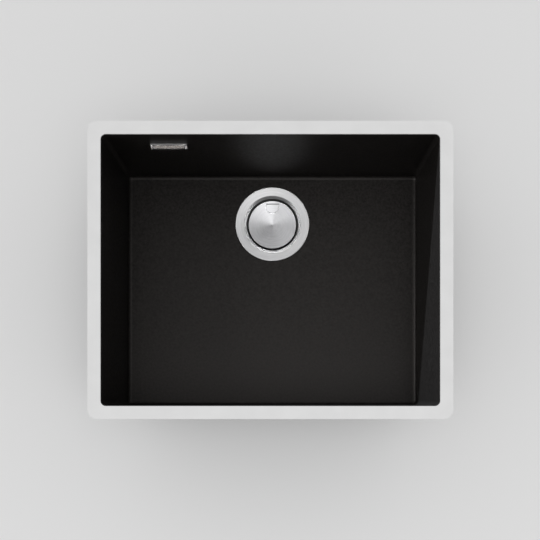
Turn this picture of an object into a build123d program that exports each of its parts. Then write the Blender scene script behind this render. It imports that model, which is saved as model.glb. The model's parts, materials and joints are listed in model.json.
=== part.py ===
from build123d import *
import math
import os

os.makedirs("parts", exist_ok=True)

# An undermount kitchen sink: a composite bowl, its clips, its basket waste and its overflow.
# The origin is the centre of the bowl's opening, in the plane of the flange's top face. +X is right,
# +Y is the back of the sink, where the waste and the overflow are, and +Z is up.

# ---------------------------------------------------------------- driving sizes, mm and degrees
# bowl
opening_x = 500.0
opening_y = 400.0
depth = 200.0  # from the flange's top to the floor at the front wall
floor_fall = 3.0  # how much lower the floor is at the back wall
draft = 1.45  # how far each wall leans from the vertical
wall = 8.0
floor_thickness = 10.0
corner_round = 7.0
floor_round = 6.5
shell_round = 12.0  # floor to wall, outside
rim_reveal = 20.0  # from the opening's edge to the flange's edge
rim_thickness = 10.0
rim_corner = 14.0
rim_web_round = 4.0
edge_round = 0.8
seal_thickness = 2.0

# clips
clip_from_corner = 100.0  # along each side, from the corner of the opening
clip_overflow_offset = 75.0  # the back left clip stands this far beyond the usual place, clear of the overflow
boss_depth = 26.0
boss_radius = 5.5
insert_radius = 3.5
insert_length = 9.0
clip_thickness = 2.5
clip_reach = 40.0
clip_lip = 5.0
clip_slot_length = 13.0
clip_screw_radius = 2.5
clip_screw_length = 13.0
clip_head_across = 8.0
clip_head_height = 3.5
washer_radius = 5.0
washer_thickness = 1.0

# waste
waste_from_back = 87.0  # from the opening's back edge
sheet = 1.2
well_radius = 43.8
flange_width = 18.8
lip_width = 4.8  # the cone between the flange and the well
lip_depth = 4.0
lip_round = 2.0
ledge_drop = 12.0  # from the flange's top to the ledge that carries the basket
ledge_width = 3.3
well_straight = 8.0
well_depth = 38.0
well_taper = 6.5  # how much narrower the well is at its floor than at the ledge's edge
well_holes = 8
well_hole_radius = 4.5
well_hole_circle = 18.0
gasket_thickness = 1.0
gasket_margin = 1.0
recess_cover = 1.8  # how deep the recess for the flange is, on the waste's axis
recess_gap = 1.5
waste_seal_width = 9.5
waste_seal_thickness = 4.0
pot_wall = 3.0
pot_flange_thickness = 4.0
pot_straight = 45.0
pot_cone = 16.0
outlet_radius = 23.9
outlet_bore = 20.4
outlet_length = 22.0
hub_radius = 9.0
hub_height = 14.0
hub_drop = 5.0  # below the steel well
spider_rib = 4.0
pot_nut_radius = 6.5
centre_screw_radius = 4.0
centre_head_radius = 7.0
centre_head_height = 2.2

# basket and cover
basket_sheet = 1.0
basket_taper = 7.5  # how much narrower the basket is at its floor than the ledge's edge
basket_height = 21.0
basket_slots = 20
basket_slot_width = 2.4
basket_slot_margin = 4.0
basket_rings = ((8, 12.0), (14, 19.5))  # holes in the basket's floor: how many, on what radius
basket_hole_radius = 1.8
basket_seal_margin = 3.5  # from the edge of the basket's floor
basket_seal_width = 5.0
knob_radius = 8.5
knob_height = 4.0
knob_neck = 3.0
stem_radius = 3.5
stem_collar = 6.5
disc_gap = 3.3  # from the disc's edge to the well's wall
disc_drop = 3.2  # from the flange's top to the disc's top
dimple_width = 23.0
dimple_straight = 6.0
dimple_depth = 0.8
dimple_from_edge = 4.6
dimple_lean = 62.0
tilt_offset = 6.0  # the tilt axle is this far behind the disc's centre
carrier_gap = 1.0
carrier_width = 7.8
carrier_thickness = 2.1
carrier_bar = 9.0
ear_spread = 11.0
ear_thickness = 3.0
lug_thickness = 2.5
pin_radius = 0.9
pin_drop = 2.0  # from the disc's underside to the axle
post_width = 8.0
post_depth = 3.0

# overflow
overflow_from_left = 94.5
overflow_down = 45.2
plate_x = 57.0
plate_y = 19.5
plate_depth = 2.6
plate_border = 2.5  # at the top and the bottom
plate_end = 3.7  # the border at the left and the right
plate_corner = 1.5
web_thickness = 0.8
panel_x = 45.0
panel_y = 11.5
panel_thickness = 0.8
panel_leg = 1.5
panel_leg_spread = 7.0
port_x = 46.0
port_y = 13.0
port_corner = 3.0
overflow_gasket_thickness = 0.5
overflow_seal_thickness = 2.0
housing_flange = 3.0
housing_margin = 10.0
chamber_x = 58.0
chamber_y = 27.0
chamber_depth = 24.0
chamber_wall = 2.0
chamber_round = 9.0
pillar_radius = 4.0
pillar_spread = 16.0
overflow_screw_radius = 1.95
overflow_screw_head = 3.4
overflow_screw_length = 16.0

# overflow hose and its unions
hose_bore = 9.0
hose_cuff_radius = 10.8
hose_rib_radius = 12.6
hose_pitch = 4.2
hose_cuff = 14.0
hose_bend = 70.0
hose_from_wall = 25.7
spigot_radius = 13.0
spigot_drop = 29.0  # from the overflow's centre to the end of its spigot
inlet_reach = 24.0  # how far the pot's inlet stands out of the pot
inlet_down = 31.0  # from the underside of the sink to the inlet's axis
hose_seal_thickness = 2.0
collar_thickness = 2.0
nut_radius = 16.0
nut_lip = 2.8
nut_grip = 9.0
nut_groove_radius = 1.6
nut_groove_pitch = 8.4  # the usual distance between two grooves

# fits
fit = 0.05  # radial, round parts that are fixed in a hole
running = 0.2  # flat faces that slide, and parts that turn
seat = 0.3  # parts that rest on a seat and lift off
hole_clear = 0.25  # a screw in its clearance hole
thread_clear = 0.2
well_clear = 1.5
past = 1.0  # how far a cutter runs past what it cuts

# ---------------------------------------------------------------- places worked out from the sizes
lean = math.tan(math.radians(draft))
waste_y = opening_y / 2 - waste_from_back
under_floor = -(depth + floor_fall + floor_thickness)
floor_at_waste = -depth - floor_fall * (waste_y + opening_y / 2) / opening_y
recess_z = floor_at_waste - recess_cover
flange_top = recess_z + gasket_thickness + sheet
flange_radius = well_radius + flange_width
waste_hole = well_radius + sheet + well_clear
lip_outer = well_radius + lip_width
lip_lean = math.atan2(lip_depth, lip_width)
ledge_z = flange_top - ledge_drop
seat_radius = well_radius - ledge_width
well_floor = flange_top - well_depth
well_floor_radius = seat_radius - well_taper

basket_rim = ledge_z + seat
basket_floor = basket_rim - basket_height
basket_floor_radius = seat_radius - basket_taper
disc_radius = well_radius - disc_gap
disc_top = flange_top - disc_drop
disc_under = disc_top - sheet
carrier_outer = well_radius - carrier_gap
carrier_inner = carrier_outer - carrier_width
carrier_z = basket_rim + basket_sheet + seat
carrier_top = carrier_z + carrier_thickness

pot_top = under_floor - waste_seal_thickness
pot_inner = waste_hole + well_clear
pot_outer = pot_inner + pot_wall
pot_flange_radius = pot_inner + waste_seal_width
pot_cone_top = pot_top - pot_straight
pot_cone_end = pot_cone_top - pot_cone
outlet_end = pot_cone_end - outlet_length
hub_top = well_floor - sheet - hub_drop

overflow_x = overflow_from_left - opening_x / 2
overflow_z = -overflow_down
wall_face_y = opening_y / 2 - overflow_down * lean
wall_normal = wall * math.cos(math.radians(draft))
hose_y = wall_face_y + hose_from_wall
spigot_end = overflow_z - spigot_drop
inlet_z = under_floor - inlet_down
inlet_face = pot_outer + inlet_reach

waste_axis = Pos(0, waste_y, 0)
# The overflow's own frame lies on the inside of the back wall: x to the right, y up the wall, z into the bowl.
overflow_plane = Plane(
    origin=(overflow_x, wall_face_y, overflow_z),
    x_dir=(1, 0, 0),
    z_dir=(0, -math.cos(math.radians(draft)), math.sin(math.radians(draft))),
)
to_hose = Vector(overflow_x, hose_y - waste_y, 0).normalized()
# Each union's own frame has its origin on the spigot's end face and z towards the hose.
top_union = Plane(origin=(overflow_x, hose_y, spigot_end), x_dir=(1, 0, 0), z_dir=(0, 0, -1))
bottom_union = Plane(
    origin=Vector(0, waste_y, inlet_z) + to_hose * inlet_face,
    x_dir=(0, 0, 1),
    z_dir=to_hose,
)

# Each clip: its name, the side's outward direction in degrees, the place along that side, and the way that it lies
# when it is put away, +1 for a quarter turn to the left of outward.
side_x = opening_x / 2 - clip_from_corner
side_y = opening_y / 2 - clip_from_corner
clips = (
    ("clip_front_left", -90, -side_x, 1),
    ("clip_front_right", -90, side_x, -1),
    ("clip_back_left", 90, clip_overflow_offset - side_x, -1),
    ("clip_back_right", 90, side_x, 1),
    ("clip_left_front", 180, -side_y, -1),
    ("clip_left_back", 180, side_y, 1),
    ("clip_right_front", 0, -side_y, 1),
    ("clip_right_back", 0, side_y, -1),
)
pivot_out = rim_reveal - boss_radius - past / 2


# ---------------------------------------------------------------- helpers
def turned(*points):
    """A solid of revolution about Z. Each point is (radius, z, rounding of that corner)."""
    line = FilletPolyline(
        [(radius, 0, z) for radius, z, _ in points],
        radius=[rounding for _, _, rounding in points],
        close=True,
    )
    return revolve(make_face(line), Axis.Z)


def ring(inner, outer, low, high):
    return turned((inner, low, 0), (outer, low, 0), (outer, high, 0), (inner, high, 0))


def rod(radius, low, high):
    """A cylinder on Z between two heights."""
    return Pos(0, 0, low) * extrude(Circle(radius), high - low)


def slab(outline, low, high):
    """An outline in XY, from one height to another."""
    return Pos(0, 0, low) * extrude(outline, high - low)


def around(shape, count):
    """Copies of a shape, evenly spaced about Z."""
    return [Rot(0, 0, 360 / count * k) * shape for k in range(count)]


def write(shape, node):
    export_step(shape, f"parts/{node}.step")


# ---------------------------------------------------------------- bowl
def leaning_block(high, low, grow, corner):
    """A block whose sides lean as the bowl's inner walls do, and stand out from them by grow."""
    sections = []
    for z in (high, low):
        out = 2 * (grow + z * lean)
        outline = RectangleRounded(opening_x + out, opening_y + out, corner)
        sections.append(Pos(0, 0, z) * outline)
    return loft(sections, ruled=True)


def rim_outline(inset):
    """The flange's outline, drawn in by inset."""
    out = 2 * (rim_reveal - inset)
    return RectangleRounded(opening_x + out, opening_y + out, rim_corner - inset)


def clip_place(outward, along):
    """Where a clip's screw meets its boss: x outward, z up, at the boss's lower end."""
    turn = math.radians(outward)
    x = (opening_x / 2 + pivot_out) * math.cos(turn) + along * abs(math.sin(turn))
    y = (opening_y / 2 + pivot_out) * math.sin(turn) + along * abs(math.cos(turn))
    return Location((x, y, -boss_depth), (0, 0, outward))


def clip_places():
    return [clip_place(outward, along) for _, outward, along, _ in clips]


def clip_boss():
    """One boss, from inside the wall to round the screw, and up into the flange."""
    root = wall / 2 - pivot_out
    outline = Circle(boss_radius) + Pos(root / 2, 0) * Rectangle(-root, 2 * boss_radius)
    return slab(outline, 0, boss_depth - rim_thickness / 2)


def bowl_cavity():
    block = leaning_block(past, under_floor, 0, corner_round)
    floor = Plane(
        origin=(0, -opening_y / 2, -depth),
        x_dir=(1, 0, 0),
        z_dir=(0, floor_fall / opening_y, 1),
    )
    block = split(block, bisect_by=floor, keep=Keep.TOP)
    return fillet(block.faces().sort_by(Axis.Z)[0].edges(), floor_round)


def bowl_shell():
    """The outside of the bowl with its flange, still solid."""
    outside = leaning_block(-past, under_floor, wall, corner_round + wall)
    outside = fillet(outside.faces().sort_by(Axis.Z)[0].edges(), shell_round)
    rim = slab(rim_outline(0), -rim_thickness, 0)
    rim = fillet(rim.faces().sort_by(Axis.Z)[0].edges(), edge_round)
    shell = rim + outside
    web = [
        edge
        for edge in shell.edges().filter_by_position(Axis.Z, -rim_thickness - fit, -rim_thickness + fit)
        if abs(edge.center().X) < opening_x / 2 + wall + fit and abs(edge.center().Y) < opening_y / 2 + wall + fit
    ]
    shell = fillet(web, rim_web_round)
    return shell + [place * clip_boss() for place in clip_places()]


def waste_hole_bevel():
    """What is cut from the top of the waste's hole, so that the flange's lip lies clear of it."""
    low = recess_z - (lip_outer - waste_hole) - past
    return turned(
        (0, low, 0), (waste_hole - past, low, 0), (lip_outer + past, recess_z + past, 0), (0, recess_z + past, 0)
    )


def bowl():
    body = bowl_shell() - bowl_cavity()
    mouth = body.faces().sort_by(Axis.Z)[-1].inner_wires()[0]
    body = fillet(mouth.edges(), edge_round)
    body -= waste_axis * rod(flange_radius + recess_gap, recess_z, -depth + past)
    body -= waste_axis * rod(waste_hole, under_floor - past, recess_z + past)
    body -= waste_axis * waste_hole_bevel()
    port =slab(RectangleRounded(port_x, port_y, port_corner), -wall_normal - past, past)
    body -= overflow_plane.location * port
    insert_hole = rod(insert_radius, -past, insert_length + past)
    return body - [place * insert_hole for place in clip_places()]


def rim_seal():
    hole = RectangleRounded(
        opening_x + 2 * edge_round, opening_y + 2 * edge_round, corner_round + edge_round
    )
    return slab(rim_outline(0) - hole, 0, seal_thickness)


# ---------------------------------------------------------------- clips
clip_top = -running
clip_under = clip_top - clip_thickness
washer_under = clip_under - running - washer_thickness
clip_half_width = boss_radius


def clip(way):
    """A fixing clip as it lies put away: its arm runs along y, to the side that way names."""
    hole = Circle(clip_screw_radius + hole_clear)
    arm = Pos(0, clip_reach / 2) * Rectangle(2 * clip_half_width, clip_reach)
    slot_middle = clip_reach - clip_thickness - clip_slot_length / 2 - clip_lip / 2
    slot = Pos(0, slot_middle) * Rot(0, 0, 90) * SlotOverall(
        clip_slot_length, 2 * (clip_screw_radius + hole_clear)
    )
    plate = slab(Circle(clip_half_width) + arm - hole - slot, clip_under, clip_top)
    tip = Pos(0, clip_reach - clip_thickness / 2) * Rectangle(2 * clip_half_width, clip_thickness)
    body = plate + slab(tip, clip_under - clip_lip, clip_top)
    bend = body.edges().filter_by(Axis.X).sort_by(lambda edge: edge.center().Y + edge.center().Z)[-1]
    body = fillet(bend, clip_thickness * 0.8)
    return body if way > 0 else Rot(0, 0, 180) * body


def clip_insert():
    return ring(clip_screw_radius + fit, insert_radius - fit, 0, insert_length)


def clip_washer():
    return ring(clip_screw_radius + hole_clear, washer_radius, washer_under, washer_under + washer_thickness)


def clip_screw():
    head = slab(
        RegularPolygon(clip_head_across / 2, 6, major_radius=False),
        washer_under - clip_head_height,
        washer_under,
    )
    return head + rod(clip_screw_radius, washer_under, washer_under + clip_screw_length)


def write_clips():
    for (name, _, _, way), place in zip(clips, clip_places()):
        write(place * clip(way), name)
    for name, shape in (
        ("clip_inserts", clip_insert()),
        ("clip_washers", clip_washer()),
        ("clip_screws", clip_screw()),
    ):
        write(Compound([place * shape for place in clip_places()]), name)


# ---------------------------------------------------------------- waste
def waste_flange():
    """The flange and the well under it, pressed from one sheet."""
    cone_top = ledge_z - well_straight
    bend = 2 * sheet
    body = turned(
        (flange_radius, flange_top, sheet / 2),
        (lip_outer, flange_top, lip_round),
        (well_radius, flange_top - lip_depth, lip_round),
        (well_radius, ledge_z, sheet / 2),
        (seat_radius, ledge_z, sheet / 2),
        (seat_radius, cone_top, bend),
        (well_floor_radius, well_floor, bend),
        (centre_screw_radius + hole_clear, well_floor, 0),
        (centre_screw_radius + hole_clear, well_floor - sheet, 0),
        (well_floor_radius + sheet / 2, well_floor - sheet, bend + sheet),
        (seat_radius + sheet, cone_top, bend),
        (seat_radius + sheet, ledge_z - sheet, sheet / 4),
        (well_radius + sheet, ledge_z - sheet, sheet),
        (well_radius + sheet, flange_top - lip_depth - sheet * math.tan(math.pi / 4 - lip_lean / 2), lip_round - sheet),
        (lip_outer + sheet * math.tan(lip_lean / 2), flange_top - sheet, lip_round - sheet),
        (flange_radius, flange_top - sheet, sheet / 3),
    )
    hole = Pos(well_hole_circle, 0, 0) * rod(well_hole_radius, well_floor - sheet - past, well_floor + past)
    return body - around(hole, well_holes)


def flange_gasket():
    return ring(lip_outer + gasket_margin, flange_radius - gasket_margin, recess_z, recess_z + gasket_thickness)


def waste_seal():
    return ring(pot_inner, pot_flange_radius, pot_top, under_floor)


def along_inlet(radius, start, end):
    """A cylinder on the inlet's axis, between two distances from the waste's axis."""
    plane = Plane(
        origin=Vector(0, waste_y, inlet_z) + to_hose * start,
        x_dir=(0, 0, 1),
        z_dir=to_hose,
    )
    return plane.location * rod(radius, 0, end - start)


def pot_spider():
    """The hub that holds the nut, and its three ribs."""
    rib_reach = pot_inner + pot_wall / 3
    rib = slab(
        Pos((hub_radius + rib_reach) / 2, 0) * Rectangle(rib_reach - hub_radius + past, spider_rib),
        hub_top - hub_height + spider_rib / 2,
        hub_top - spider_rib,
    )
    return rod(hub_radius, hub_top - hub_height, hub_top) + around(rib, 3)


def waste_pot():
    shell = turned(
        (pot_inner, pot_top, 0),
        (pot_flange_radius, pot_top, edge_round),
        (pot_flange_radius, pot_top - pot_flange_thickness, edge_round),
        (pot_outer, pot_top - pot_flange_thickness, pot_wall / 2),
        (pot_outer, pot_cone_top, 2 * pot_wall),
        (outlet_radius, pot_cone_end, 0),
        (outlet_radius, outlet_end, 0),
        (outlet_bore, outlet_end, 0),
        (outlet_bore, pot_cone_end + pot_wall / 3, pot_wall / 2),
        (pot_inner, pot_cone_top + pot_wall / 3, pot_wall),
    )
    body = waste_axis * (shell + pot_spider())
    body += along_inlet(spigot_radius, pot_inner + pot_wall / 5, inlet_face)
    body -= along_inlet(hose_bore, pot_inner - pot_wall, inlet_face + past)
    return body - waste_axis * rod(pot_nut_radius + fit, hub_top - hub_height - past, hub_top + past)


def pot_nut():
    return ring(centre_screw_radius + fit, pot_nut_radius, hub_top - hub_height + past, hub_top - past)


def centre_screw():
    head = turned(
        (0, well_floor, 0),
        (centre_head_radius, well_floor, 0),
        (centre_head_radius, well_floor + centre_head_height, centre_head_height / 2),
        (0, well_floor + centre_head_height, 0),
    )
    slot = Box(2 * centre_head_radius, centre_head_height / 2, centre_head_height)
    head -= Pos(0, 0, well_floor + centre_head_height) * slot
    return head + rod(centre_screw_radius, hub_top - hub_height, well_floor)


# ---------------------------------------------------------------- basket
def strainer_basket():
    """A perforated cup that hangs by its rim over the well's ledge."""
    top = basket_rim + basket_sheet
    wall_top = seat_radius - 4 * running
    body = turned(
        (well_radius - 4 * running, basket_rim, 0),
        (well_radius - 4 * running, top, basket_sheet / 3),
        (wall_top - basket_sheet, top, basket_sheet),
        (basket_floor_radius - basket_sheet, basket_floor + basket_sheet, 2 * basket_sheet),
        (stem_radius + fit, basket_floor + basket_sheet, 0),
        (stem_radius + fit, basket_floor, 0),
        (basket_floor_radius, basket_floor, 3 * basket_sheet),
        (wall_top, basket_rim, basket_sheet / 2),
    )
    slot_height = basket_height - 2 * basket_slot_margin
    middle = (wall_top + basket_floor_radius) / 2
    slot = Pos(middle, 0, basket_rim - basket_height / 2) * Box(
        wall_top - basket_floor_radius + 6 * basket_sheet, basket_slot_width, slot_height
    )
    body -= around(slot, basket_slots)
    for count, radius in basket_rings:
        hole = Pos(radius, 0, 0) * rod(basket_hole_radius, basket_floor - past, basket_floor + basket_sheet + past)
        body -= around(hole, count)
    return body


def basket_stem():
    """The knob that lifts the basket, its stem through the floor, and the collar under it."""
    inside = basket_floor + basket_sheet
    knob_top = carrier_z - knob_neck
    foot = well_floor + centre_head_height + seat
    return turned(
        (0, knob_top, 0),
        (knob_radius, knob_top, knob_height / 2),
        (knob_radius, knob_top - knob_height, knob_height / 3),
        (stem_radius, knob_top - knob_height - knob_neck, past),
        (stem_radius, inside + basket_sheet, 0),
        (stem_collar, inside + basket_sheet, 0),
        (stem_collar, inside, 0),
        (stem_radius, inside, 0),
        (stem_radius, basket_floor, 0),
        (stem_collar, basket_floor, 0),
        (stem_collar, foot, 0),
        (0, foot, 0),
    )


def basket_seal():
    low = well_floor + seat
    outer = basket_floor_radius - basket_seal_margin
    inner = outer - basket_seal_width
    return turned(
        (inner, low, edge_round),
        (outer, low, edge_round),
        (outer, basket_floor, 0),
        (inner, basket_floor, 0),
    )


# ---------------------------------------------------------------- cover
pin_z = disc_under - pin_drop
lug_x = ear_spread + ear_thickness / 2 + running + lug_thickness / 2
lug_half = pin_drop + running
pin_half = lug_x + lug_thickness / 2 + running


def cross_pin(radius, reach):
    """A cylinder on the tilt axle, reach to each side."""
    return Pos(0, tilt_offset, pin_z) * Rot(0, 90, 0) * Cylinder(radius, 2 * reach)


def dimple_outline(grow):
    """A D whose flat side is at the back."""
    back = disc_radius - dimple_from_edge
    half = dimple_width / 2
    centre = back - dimple_straight
    flat = Pos(0, centre + dimple_straight / 2) * Rectangle(2 * half, dimple_straight)
    return offset(Pos(0, centre) * Circle(half) - Pos(0, back + half) * Rectangle(4 * half, 2 * half) + flat, grow)


def cover_disc():
    """The steel cover, with a pressed finger dimple and two lugs for the axle."""
    body = slab(Circle(disc_radius), disc_under, disc_top)
    body = fillet(body.edges().sort_by(Axis.Z)[-1], sheet / 2)
    pad = slab(dimple_outline(sheet / 2), disc_under - dimple_depth, disc_under)
    body += chamfer(pad.faces().sort_by(Axis.Z)[0].edges(), dimple_depth / 2)
    pocket = Pos(0, 0, disc_top) * extrude(dimple_outline(0), -dimple_depth, taper=dimple_lean)
    body -= pocket
    for side in (-1, 1):
        lug = Pos(side * lug_x, tilt_offset) * Rectangle(lug_thickness, 2 * lug_half)
        body += slab(lug, pin_z - lug_half / 2 - pin_radius / 2, disc_under)
    return body - cross_pin(pin_radius + fit, pin_half + past)


def cover_carrier():
    """The ring that stands on the basket's rim, with the bar and ears for the axle and a stop at the front."""
    body = ring(carrier_inner, carrier_outer, carrier_z, carrier_top)
    bar = Pos(0, tilt_offset) * Rectangle(2 * carrier_inner, carrier_bar)
    body += slab(bar, carrier_z, carrier_top)
    for side in (-1, 1):
        ear = Pos(side * ear_spread, tilt_offset) * Rectangle(ear_thickness, 2 * lug_half)
        body += slab(ear, carrier_top, pin_z + pin_radius + running)
    post_y = -(carrier_inner + post_depth)
    post = Pos(0, post_y) * Rectangle(post_width, post_depth)
    body += slab(post, carrier_top, disc_under - seat)
    return body - cross_pin(pin_radius + fit / 2, pin_half)


def cover_pin():
    return cross_pin(pin_radius, pin_half)


def write_waste():
    write(waste_axis * waste_flange(), "waste_flange")
    write(waste_axis * flange_gasket(), "flange_gasket")
    write(waste_axis * waste_seal(), "waste_seal")
    write(waste_pot(), "waste_pot")
    write(waste_axis * pot_nut(), "pot_nut")
    write(waste_axis * centre_screw(), "centre_screw")
    write(waste_axis * strainer_basket(), "strainer_basket")
    write(waste_axis * basket_stem(), "basket_stem")
    write(waste_axis * basket_seal(), "basket_seal")
    write(waste_axis * cover_carrier(), "cover_carrier")
    write(waste_axis * cover_pin(), "cover_pin")
    write(waste_axis * cover_disc(), "cover_disc")


# ---------------------------------------------------------------- overflow, in the overflow's own frame
frame_back = overflow_gasket_thickness
web_front = frame_back + web_thickness
frame_front = frame_back + plate_depth
panel_back = frame_front - panel_thickness - fit
seal_back = -wall_normal - overflow_seal_thickness
housing_back = seal_back - housing_flange - chamber_depth


def pair(shape, spread):
    return [Pos(side * spread, 0, 0) * shape for side in (-1, 1)]


def overflow_frame():
    """The chrome frame: a raised border round a web with two windows for the water."""
    inner_x = plate_x - 2 * plate_end
    inner_y = plate_y - 2 * plate_border
    outline = RectangleRounded(plate_x, plate_y, plate_corner)
    body = slab(outline, frame_back, frame_front)
    body = fillet(body.faces().sort_by(Axis.Z)[-1].edges(), plate_corner / 3)
    body -= slab(RectangleRounded(inner_x, inner_y, plate_corner / 2), web_front, frame_front + past)
    window_y = (inner_y - 2 * (overflow_screw_head + past)) / 2 - past / 2
    for side in (-1, 1):
        window = Pos(0, side * (port_y - window_y) / 2) * Rectangle(port_x - 2 * plate_corner, window_y)
        body -= slab(window, frame_back - past, web_front + past)
    body -= pair(rod(overflow_screw_radius + hole_clear, 0, frame_front), pillar_spread)
    return body - pair(rod(panel_leg + fit, 0, frame_front), panel_leg_spread)


def overflow_panel():
    body = slab(RectangleRounded(panel_x, panel_y, plate_corner / 2), panel_back, panel_back + panel_thickness)
    body = fillet(body.faces().sort_by(Axis.Z)[-1].edges(), panel_thickness / 4)
    return body + pair(rod(panel_leg, frame_back - running, panel_back), panel_leg_spread)


def overflow_gasket():
    outline = RectangleRounded(plate_x - 2 * gasket_margin, plate_y - 2 * gasket_margin, plate_corner)
    return slab(outline - RectangleRounded(port_x, port_y, port_corner), 0, overflow_gasket_thickness)


def overflow_seal():
    outline = RectangleRounded(port_x + 2 * housing_margin, port_y + 2 * housing_margin, port_corner)
    hole = RectangleRounded(port_x + 2 * gasket_margin, port_y + 2 * gasket_margin, port_corner)
    return slab(outline - hole, seal_back, -wall_normal)


def overflow_screw():
    head = rod(overflow_screw_head, web_front, panel_back - running)
    return head + rod(overflow_screw_radius, web_front - overflow_screw_length, web_front)


def overflow_housing():
    """The chamber behind the wall, its screw pillars, and the spigot that points down."""
    outline = RectangleRounded(port_x + 2 * housing_margin, port_y + 2 * housing_margin, port_corner)
    body = slab(outline, seal_back - housing_flange, seal_back)
    chamber = slab(RectangleRounded(chamber_x, chamber_y, port_corner), housing_back, seal_back)
    back = chamber.faces().sort_by(Axis.Z)[0].edges()
    body += fillet(back, chamber_round)
    place = overflow_plane.location
    body = place * body
    body += top_union.location * rod(spigot_radius, -spigot_drop, 0)
    hollow = slab(
        RectangleRounded(chamber_x - 2 * chamber_wall, chamber_y - 2 * chamber_wall, port_corner - past),
        housing_back + chamber_wall,
        seal_back + past,
    )
    hollow = fillet(hollow.faces().sort_by(Axis.Z)[0].edges(), chamber_round - chamber_wall)
    body -= place * hollow
    body -= top_union.location * rod(hose_bore, -spigot_drop, past)
    pillars = pair(rod(pillar_radius, housing_back + chamber_wall / 2, frame_back), pillar_spread)
    holes = pair(
        rod(overflow_screw_radius + fit, web_front - overflow_screw_length - past, web_front), pillar_spread
    )
    body += [place * pillar for pillar in pillars]
    return body - [place * hole for hole in holes]


# ---------------------------------------------------------------- unions and hose
def union_nut():
    """A round nut with grip grooves, in a union's own frame."""
    lip = hose_seal_thickness + collar_thickness + running
    body = turned(
        (spigot_radius + thread_clear, -nut_grip, 0),
        (nut_radius, -nut_grip, edge_round),
        (nut_radius, lip + nut_lip, edge_round),
        (hose_cuff_radius + running, lip + nut_lip, 0),
        (hose_cuff_radius + running, lip, 0),
        (spigot_radius + thread_clear, lip, 0),
    )
    groove = Pos(nut_radius + nut_groove_radius / 2, 0, 0) * rod(nut_groove_radius, -nut_grip - past, lip)
    return body - around(groove, round(2 * math.pi * nut_radius / nut_groove_pitch))


def hose_seal():
    return ring(hose_bore, spigot_radius, 0, hose_seal_thickness)


def hose_route():
    start = top_union.origin + top_union.z_dir * hose_seal_thickness
    end = bottom_union.origin + bottom_union.z_dir * hose_seal_thickness
    corner = Vector(start.X, start.Y, end.Z)
    return FilletPolyline(start, corner, end, radius=hose_bend)


def hose_sections(route):
    """Four circles for each rib and two for each cuff, as (distance along the route, radius)."""
    ribbed = route.length - 2 * hose_cuff
    count = int(ribbed / hose_pitch)
    step = ribbed / count
    sections = [(0, hose_cuff_radius)]
    for k in range(count):
        foot = hose_cuff + k * step
        sections.append((foot, hose_cuff_radius))
        sections.append((foot + 0.2 * step, hose_rib_radius))
        sections.append((foot + 0.6 * step, hose_rib_radius))
        sections.append((foot + 0.8 * step, hose_cuff_radius))
    sections.append((route.length, hose_cuff_radius))
    return sections


def overflow_hose():
    """A ribbed hose with its bore and a collar at each end, down the back wall and in under the floor."""
    route = hose_route()
    steady = to_hose.cross(Vector(0, 0, 1))

    def plane_at(distance):
        share = distance / route.length
        return Plane(origin=route @ share, x_dir=steady, z_dir=route % share)

    body = loft([plane_at(s).location * Circle(r) for s, r in hose_sections(route)], ruled=True)
    for end in (0, route.length - collar_thickness):
        body += plane_at(end).location * rod(spigot_radius - running, 0, collar_thickness)
    bore = sweep(plane_at(0).location * Circle(hose_bore), path=route)
    return body - bore


def write_overflow():
    place = overflow_plane.location
    write(place * overflow_frame(), "overflow_frame")
    write(place * overflow_panel(), "overflow_panel")
    write(place * overflow_gasket(), "overflow_gasket")
    write(place * overflow_seal(), "overflow_seal")
    write(Compound([place * screw for screw in pair(overflow_screw(), pillar_spread)]), "overflow_screws")
    write(overflow_housing(), "overflow_housing")
    write(overflow_hose(), "overflow_hose")
    for name, union in (("top", top_union), ("bottom", bottom_union)):
        write(union.location * union_nut(), f"hose_nut_{name}")
        write(union.location * hose_seal(), f"hose_seal_{name}")


write(bowl(), "bowl")
write(rim_seal(), "rim_seal")
write_clips()
write_waste()
write_overflow()
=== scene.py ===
import json
import math

import bpy
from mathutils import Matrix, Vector


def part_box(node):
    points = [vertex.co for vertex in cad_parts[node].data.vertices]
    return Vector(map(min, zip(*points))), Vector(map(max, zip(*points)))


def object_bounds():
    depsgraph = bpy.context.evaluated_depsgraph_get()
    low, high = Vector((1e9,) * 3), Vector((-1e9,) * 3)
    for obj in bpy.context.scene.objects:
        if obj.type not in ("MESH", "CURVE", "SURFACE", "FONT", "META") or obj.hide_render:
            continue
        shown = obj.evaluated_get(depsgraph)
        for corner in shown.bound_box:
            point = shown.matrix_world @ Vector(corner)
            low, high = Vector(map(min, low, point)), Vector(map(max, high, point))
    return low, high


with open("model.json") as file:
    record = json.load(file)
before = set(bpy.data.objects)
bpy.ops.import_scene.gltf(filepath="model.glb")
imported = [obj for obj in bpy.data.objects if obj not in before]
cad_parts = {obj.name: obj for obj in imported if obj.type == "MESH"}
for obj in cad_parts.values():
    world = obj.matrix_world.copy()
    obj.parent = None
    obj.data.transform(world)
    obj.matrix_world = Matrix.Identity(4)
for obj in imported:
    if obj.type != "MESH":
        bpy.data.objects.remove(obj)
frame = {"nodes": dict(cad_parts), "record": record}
cad_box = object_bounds()
nodes = frame["nodes"]

# ---------------------------------------------------------------- the photograph's view, in metres and pixels
IMAGE_SIDE = 540
PIXELS_PER_METRE = 676.8  # at the rim
CAMERA_HEIGHT = 1.309  # above the rim
CAMERA_PLACE = (0.0219, -0.2248)
VIEW_CENTRE = (285.2, 422.3)  # the pixel straight under the camera
SENSOR = 36.0  # in millimetres

# ---------------------------------------------------------------- stage and light, in metres and watts
FLOOR_DROP = 0.0005  # the floor lies this far under the lowest piece
FLOOR_REACH = 6.0
FLOOR_PALE = 0.76
BACKDROP_PALE = 0.64  # what the camera and the metal see of the world
WORLD_LIGHT = 0.8
WHITE = (1.0, 1.0, 1.0, 1.0)

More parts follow.
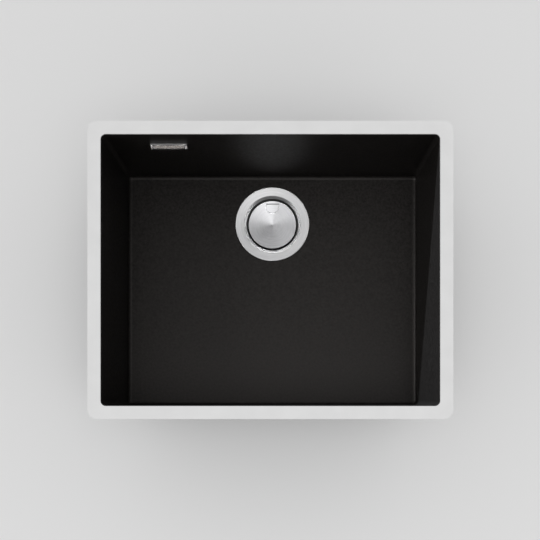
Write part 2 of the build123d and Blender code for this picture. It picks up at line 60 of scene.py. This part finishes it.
SUN_STRENGTH = 8.8
SUN_COLOUR = (0.84, 0.92, 1.0)
SUN_WIDTH = math.radians(1.5)
SUN_PLACE = (-0.9, 1.0, 0.46)  # only the way from here to the origin counts

WASTE_LIT = ("waste_flange", "cover_disc")
WASTE_SHADING = WASTE_LIT + ("cover_carrier", "strainer_basket")
WASTE_LIGHTS = (
    # name, way from the waste, distance, side, watts
    ("waste_zenith", (0.04, -0.09, 1.0), 2.0, 0.5, 3.2),
    ("waste_right", (0.25, 0.03, 1.0), 2.0, 0.5, 1.8),
    ("waste_left", (-0.27, 0.03, 1.0), 2.0, 0.5, 1.7),
    ("waste_back_left", (-0.28, 0.45, 0.85), 2.0, 0.5, 0.75),
    ("waste_low_back", (0.0, 0.97, 0.25), 1.5, 1.5, 16.5),
    ("waste_low_left", (-0.95, -0.1, 0.3), 1.5, 1.5, 9.5),
    ("waste_low_right", (0.95, -0.1, 0.3), 1.5, 1.5, 10.0),
    ("waste_low_back_left", (-0.66, 0.74, 0.25), 1.5, 1.5, 11.5),
    ("waste_low_back_right", (0.66, 0.74, 0.25), 1.5, 1.5, 9.5),
)

PLATE_LIT = ("overflow_frame", "overflow_panel")
PLATE_LIGHT_WAY = (-0.13, -0.34, -0.93)  # where the plate's face mirrors the camera's view to
PLATE_LIGHT_DISTANCE = 1.2

# ---------------------------------------------------------------- finishes
USUAL_NOISE = (0.3, 0.7)  # most values of a noise lie between these
MIDDLE_NOISE = (0.35, 0.65)

STROKES_PER_METRE = 800.0
STROKE_TURN = 1.6  # how fast the strokes change on the way round
BRUSHED = 0.4  # how far the strokes stretch a highlight
QUARTER_TURN = 0.25

# ---------------------------------------------------------------- places taken from the frame
waste_low, waste_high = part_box("waste_flange")
waste_middle = (waste_low + waste_high) / 2
waste_place = Vector((waste_middle.x, waste_middle.y, waste_high.z))
floor_z = cad_box[0].z - FLOOR_DROP


def make_camera():
    data = bpy.data.cameras.new("camera")
    data.sensor_width = SENSOR
    data.lens = PIXELS_PER_METRE * CAMERA_HEIGHT * SENSOR / IMAGE_SIDE
    data.shift_x = (IMAGE_SIDE / 2 - VIEW_CENTRE[0]) / IMAGE_SIDE
    data.shift_y = (VIEW_CENTRE[1] - IMAGE_SIDE / 2) / IMAGE_SIDE
    camera = bpy.data.objects.new("camera", data)
    camera.location = (*CAMERA_PLACE, CAMERA_HEIGHT)
    bpy.context.scene.collection.objects.link(camera)
    bpy.context.scene.camera = camera


# ---------------------------------------------------------------- shader nodes
def new_material(name):
    made = bpy.data.materials.new(f"{name}_finish")
    made.use_nodes = True
    return made, made.node_tree, made.node_tree.nodes["Principled BSDF"]


def feed(tree, socket, value):
    """Links another node's output to a socket, or sets the socket to a plain value."""
    if isinstance(value, bpy.types.NodeSocket):
        tree.links.new(value, socket)
    else:
        socket.default_value = value


def node(tree, kind, inputs=None, **settings):
    made = tree.nodes.new("ShaderNode" + kind)
    for name, value in settings.items():
        setattr(made, name, value)
    for name, value in (inputs or {}).items():
        feed(tree, made.inputs[name], value)
    return made


def shade(tree, shader, **sockets):
    """Feeds the shader's sockets, given with _ for a space."""
    for name, value in sockets.items():
        feed(tree, shader.inputs[name.replace("_", " ")], value)


def object_place(tree):
    return node(tree, "TexCoord").outputs["Object"]


def noise(tree, place, scale, detail=2.0, roughness=0.5):
    inputs = {"Vector": place, "Scale": scale, "Detail": detail, "Roughness": roughness}
    return node(tree, "TexNoise", inputs).outputs["Fac"]


def spread(tree, value, low, high, source=USUAL_NOISE):
    """Maps a value from the source's range to low..high."""
    inputs = {"Value": value, "From Min": source[0], "From Max": source[1], "To Min": low, "To Max": high}
    return node(tree, "MapRange", inputs).outputs["Result"]


def vector_math(tree, operation, first, second):
    return node(tree, "VectorMath", {0: first, 1: second}, operation=operation).outputs["Vector"]


def scaled(tree, vector, factor):
    return node(tree, "VectorMath", {0: vector, "Scale": factor}, operation="SCALE").outputs["Vector"]


def mix_colours(tree, share, first, second):
    made = node(tree, "Mix", data_type="RGBA")
    feed(tree, made.inputs[0], share)
    feed(tree, made.inputs[6], (*first, 1.0))
    feed(tree, made.inputs[7], (*second, 1.0))
    return made.outputs[2]


def bump(tree, height, distance, strength=1.0, normal=None):
    inputs = {"Height": height, "Distance": distance, "Strength": strength}
    if normal is not None:
        inputs["Normal"] = normal
    return node(tree, "Bump", inputs).outputs["Normal"]


# ---------------------------------------------------------------- materials
def composite():
    """Dark stone-resin: lighter specks in a near-black body, and a mottle in its colour and its shine."""
    made, tree, shader = new_material("composite")
    place = object_place(tree)
    grain = noise(tree, place, scale=900.0, roughness=0.6)
    mottle = noise(tree, place, scale=260.0, detail=4.0, roughness=0.6)
    speck = spread(tree, grain, 0.0, 1.0, (0.42, 0.68))
    body = mix_colours(tree, speck, (0.0030, 0.0026, 0.0025), (0.0088, 0.0076, 0.0068))
    shade(
        tree, shader,
        Base_Color=scaled(tree, body, spread(tree, mottle, 0.72, 1.28, MIDDLE_NOISE)),
        Roughness=spread(tree, mottle, 0.38, 0.54, MIDDLE_NOISE),
        Specular_IOR_Level=spread(tree, mottle, 0.19, 0.3, MIDDLE_NOISE),
        Specular_Tint=(1.0, 0.95, 0.92, 1.0),
        Normal=bump(tree, grain, distance=0.00012, strength=0.5),
    )
    return made


def turned_metal(name, colour, roughness, dish):
    """Metal brushed in circles about the waste's axis. dish is how steeply it rises away from that axis."""
    made, tree, shader = new_material(name)
    out = vector_math(tree, "SUBTRACT", object_place(tree), (waste_place.x, waste_place.y, 0.0))
    flat = vector_math(tree, "MULTIPLY", out, (1.0, 1.0, 0.0))
    radius = node(tree, "VectorMath", {0: flat}, operation="LENGTH").outputs["Value"]
    way = node(tree, "VectorMath", {0: flat}, operation="NORMALIZE").outputs["Vector"]
    ring = node(tree, "Math", {0: radius, 1: STROKES_PER_METRE}, operation="MULTIPLY").outputs[0]
    across = node(tree, "CombineXYZ", {"Z": ring}).outputs["Vector"]
    stroke_place = vector_math(tree, "ADD", scaled(tree, way, STROKE_TURN), across)
    stroke = noise(tree, stroke_place, scale=1.0, detail=5.0, roughness=0.75)
    dished = bump(tree, radius, distance=dish)
    shade(
        tree, shader,
        Base_Color=scaled(tree, colour, spread(tree, stroke, 0.86, 1.14)),
        Roughness=spread(tree, stroke, roughness - 0.05, roughness + 0.06),
        Tangent=node(tree, "Tangent", direction_type="RADIAL", axis="Z").outputs["Tangent"],
        Normal=bump(tree, stroke, distance=0.000006, strength=0.4, normal=dished),
        Metallic=1.0, Anisotropic=BRUSHED, Anisotropic_Rotation=QUARTER_TURN,
    )
    return made


def plain_metal(name, colour, roughness, grain_scale, grain_depth):
    """Metal with a faint even grain."""
    made, tree, shader = new_material(name)
    grain = noise(tree, object_place(tree), grain_scale, detail=3.0)
    shade(
        tree, shader,
        Base_Color=scaled(tree, colour, spread(tree, grain, 0.9, 1.05)),
        Roughness=spread(tree, grain, roughness * 0.8, roughness * 1.25),
        Normal=bump(tree, grain, grain_depth, strength=0.4),
        Metallic=1.0,
    )
    return made


def moulded(name, colour, roughness, grain_scale=900.0, grain_depth=0.00003, shine=0.5):
    """Moulded plastic, rubber or foam with a fine texture."""
    made, tree, shader = new_material(name)
    place = object_place(tree)
    grain = noise(tree, place, grain_scale)
    mottle = noise(tree, place, scale=35.0)
    shade(
        tree, shader,
        Base_Color=scaled(tree, colour, spread(tree, mottle, 0.98, 1.02)),
        Roughness=spread(tree, grain, roughness - 0.06, roughness + 0.06),
        Normal=bump(tree, grain, grain_depth, strength=0.5),
        Specular_IOR_Level=shine,
    )
    return made


def dress():
    """Gives every CAD node the finish of its slot. The overflow's panel is warmer than its frame."""
    finishes = {
        "composite": composite(),
        "stainless": turned_metal("stainless", (0.48, 0.48, 0.485), roughness=0.38, dish=0.11),
        "brushed_cover": turned_metal("cover_steel", (0.44, 0.44, 0.45), roughness=0.34, dish=0.18),
        "chrome": plain_metal("chrome", (0.62, 0.62, 0.63), 0.1, grain_scale=300.0, grain_depth=0.000004),
        "brass": plain_metal("brass", (0.72, 0.52, 0.22), 0.3, grain_scale=500.0, grain_depth=0.00001),
        "zinc_steel": plain_metal("zinc_steel", (0.62, 0.63, 0.62), 0.38, grain_scale=420.0, grain_depth=0.00002),
        "rubber": moulded("rubber", (0.022, 0.022, 0.023), 0.62),
        "black_plastic": moulded("black_plastic", (0.012, 0.012, 0.013), 0.48, shine=0.12),
        "pot_plastic": moulded("pot_plastic", (0.72, 0.72, 0.70), 0.42),
        "hose_plastic": moulded("hose_plastic", (0.55, 0.56, 0.57), 0.4),
        "foam": moulded("sealing_strip", (0.68, 0.68, 0.68), 0.9, 1200.0, 0.00005, shine=0.2),
    }
    panel = plain_metal("panel_steel", (0.66, 0.63, 0.61), 0.24, grain_scale=900.0, grain_depth=0.000005)
    slots = {part["node"]: part["material_slot"] for part in frame["record"]["subparts"]}
    for name, piece in nodes.items():
        piece.data.materials.clear()
        piece.data.materials.append(panel if name == "overflow_panel" else finishes[slots[name]])


# ---------------------------------------------------------------- stage
def make_floor():
    mesh = bpy.data.meshes.new("floor")
    ways = ((-1, -1), (1, -1), (1, 1), (-1, 1))
    mesh.from_pydata([(x * FLOOR_REACH, y * FLOOR_REACH, floor_z) for x, y in ways], [], [(0, 1, 2, 3)])
    floor = bpy.data.objects.new("floor", mesh)
    bpy.context.scene.collection.objects.link(floor)
    made, tree, shader = new_material("floor")
    pale = (FLOOR_PALE, FLOOR_PALE, FLOOR_PALE, 1.0)
    shade(tree, shader, Base_Color=pale, Roughness=0.9, Specular_IOR_Level=0.1)
    mesh.materials.append(made)
    return floor


def make_world():
    """Even light from all round. What the camera and the metal see of it is as pale as the floor."""
    world = bpy.data.worlds.new("world")
    bpy.context.scene.world = world
    world.use_nodes = True
    tree = world.node_tree
    tree.nodes.clear()
    rays = node(tree, "LightPath")
    seen = rays.outputs["Is Camera Ray"]
    for kind in ("Is Glossy Ray", "Is Transmission Ray"):
        seen = node(tree, "Math", {0: seen, 1: rays.outputs[kind]}, operation="MAXIMUM").outputs[0]
    lighting = node(tree, "Background", {"Color": WHITE, "Strength": WORLD_LIGHT})
    shown = node(tree, "Background", {"Color": WHITE, "Strength": BACKDROP_PALE})
    blend = node(tree, "MixShader", {0: seen, 1: lighting.outputs[0], 2: shown.outputs[0]})
    node(tree, "OutputWorld", {"Surface": blend.outputs[0]})


# ---------------------------------------------------------------- lamps
def place_lamp(name, data, place, target):
    lamp = bpy.data.objects.new(name, data)
    lamp.location = place
    lamp.rotation_mode = "QUATERNION"
    lamp.rotation_quaternion = (Vector(target) - lamp.location).to_track_quat("-Z", "Y")
    bpy.context.scene.collection.objects.link(lamp)
    return lamp


def softbox(name, place, target, side, power, colour=(1.0, 1.0, 1.0)):
    data = bpy.data.lights.new(name, "AREA")
    data.size = side
    data.energy = power
    data.color = colour
    # With this on, part of a lamp's light is lost where the lamp is linked to some blockers only.
    data.cycles.use_multiple_importance_sampling = False
    return place_lamp(name, data, place, target)


def from_place(start, way, distance):
    return start + Vector(way).normalized() * distance


def pieces_named(names):
    return [nodes[name] for name in names]


def light_only(lamp, receivers, blockers=None):
    """Lets a lamp light some objects only and, if they are given, be shaded by some objects only."""
    lit = bpy.data.collections.new(f"lit_by_{lamp.name}")
    for piece in receivers:
        lit.objects.link(piece)
    lamp.light_linking.receiver_collection = lit
    if blockers is not None:
        shading = bpy.data.collections.new(f"shading_{lamp.name}")
        for piece in blockers:
            shading.objects.link(piece)
        lamp.light_linking.blocker_collection = shading


def make_plate_light():
    """The light that the overflow's plate mirrors. It stands below the floor, and nothing else sees it."""
    pieces = pieces_named(PLATE_LIT)
    low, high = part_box("overflow_frame")
    plate_place = (low + high) / 2
    place = from_place(plate_place, PLATE_LIGHT_WAY, PLATE_LIGHT_DISTANCE)
    lamp = softbox("plate_light", place, plate_place, side=0.4, power=0.2, colour=(1.0, 0.96, 0.93))
    light_only(lamp, pieces, pieces)


def make_bowl_lights(floor):
    """A lamp overhead, a weak fill from the left and a low sun for the wedge on the right wall."""
    bowl = pieces_named(("bowl",))
    left_out = WASTE_SHADING + PLATE_LIT
    others = pieces_named(name for name in nodes if name not in left_out)
    overhead = softbox("overhead", (0.1, -0.46, 2.2), (0.0, -0.2, 0.0), side=1.2, power=12.0)
    light_only(overhead, others + [floor])
    left_fill = softbox("left_fill", (-1.5, -0.2, 0.9), (0.25, 0.0, -0.1), side=0.8, power=18.0)
    light_only(left_fill, bowl)
    data = bpy.data.lights.new("low_sun", "SUN")
    data.energy = SUN_STRENGTH
    data.color = SUN_COLOUR
    data.angle = SUN_WIDTH
    light_only(place_lamp("low_sun", data, SUN_PLACE, (0.0, 0.0, 0.0)), bowl)


def make_waste_lights():
    """What the turned steel of the waste mirrors. These lamps light its flange and its cover only."""
    lit, shading = pieces_named(WASTE_LIT), pieces_named(WASTE_SHADING)
    for name, way, distance, side, power in WASTE_LIGHTS:
        lamp = softbox(name, from_place(waste_place, way, distance), waste_place, side, power)
        light_only(lamp, lit, shading)


make_camera()
dress()
floor = make_floor()
make_world()
make_plate_light()
make_bowl_lights(floor)
make_waste_lights()

bpy.context.scene.view_settings.view_transform = "Standard"
